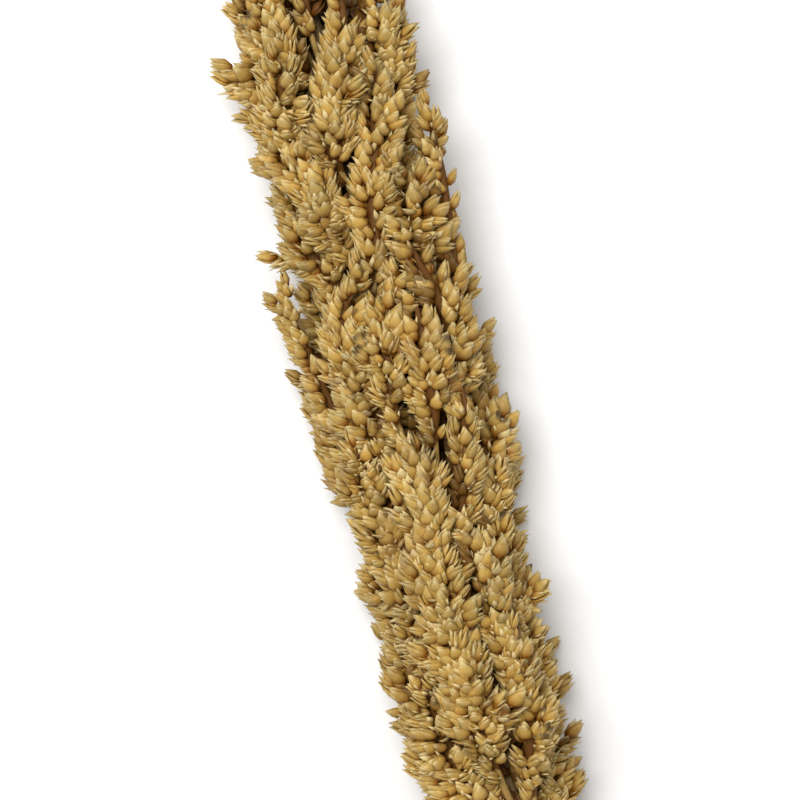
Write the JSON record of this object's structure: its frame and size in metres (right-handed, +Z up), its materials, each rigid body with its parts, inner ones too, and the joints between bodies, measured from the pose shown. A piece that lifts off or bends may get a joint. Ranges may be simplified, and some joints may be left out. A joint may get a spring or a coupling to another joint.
{
  "type": "sorghum seed head",
  "caption": "Dried compact sorghum seed head lying on its side: a cut ribbed stem with whorled branches, each a plump finger of straw-coloured grain.",
  "frame": {"origin": "on the surface that the head lies on, under the middle of its bounding box", "axes": "+X along the head from the cut end of the stem to the tip, +Z up"},
  "size_m": [0.4, 0.0542, 0.0469],
  "materials": {
    "stem": "dry fibrous olive-tan, ribbed lengthwise",
    "grain": "dry straw-gold husks, semi-gloss at the base and papery at the tip"
  },
  "bodies": {
    "root": {"branch_01": "grain", "branch_02": "grain", "branch_03": "grain", "branch_04": "grain", "branch_05": "grain", "branch_06": "grain", "branch_07": "grain", "branch_08": "grain", "branch_09": "grain", "branch_10": "grain", "branch_11": "grain", "branch_12": "grain", "branch_13": "grain", "branch_14": "grain", "branch_15": "grain", "branch_16": "grain", "branch_17": "grain", "branch_18": "grain", "branch_19": "grain", "branch_20": "grain", "branch_21": "grain", "branch_22": "grain", "branch_23": "grain", "branch_24": "grain", "branch_25": "grain", "branch_26": "grain", "branch_27": "grain", "branch_28": "grain", "branch_29": "grain", "branch_30": "grain", "branch_31": "grain", "branch_32": "grain", "branch_33": "grain", "branch_34": "grain", "branch_35": "grain", "branch_bare_foot_1": "grain", "branch_bare_foot_2": "grain", "branch_bare_foot_3": "grain", "branch_centre_front": "grain", "branch_centre_low": "grain", "branch_left_free": "grain", "branch_right_back": "grain", "branch_right_free": "grain", "branch_right_front": "grain", "branch_top": "grain", "stem": "stem"}
  },
  "joints": []
}
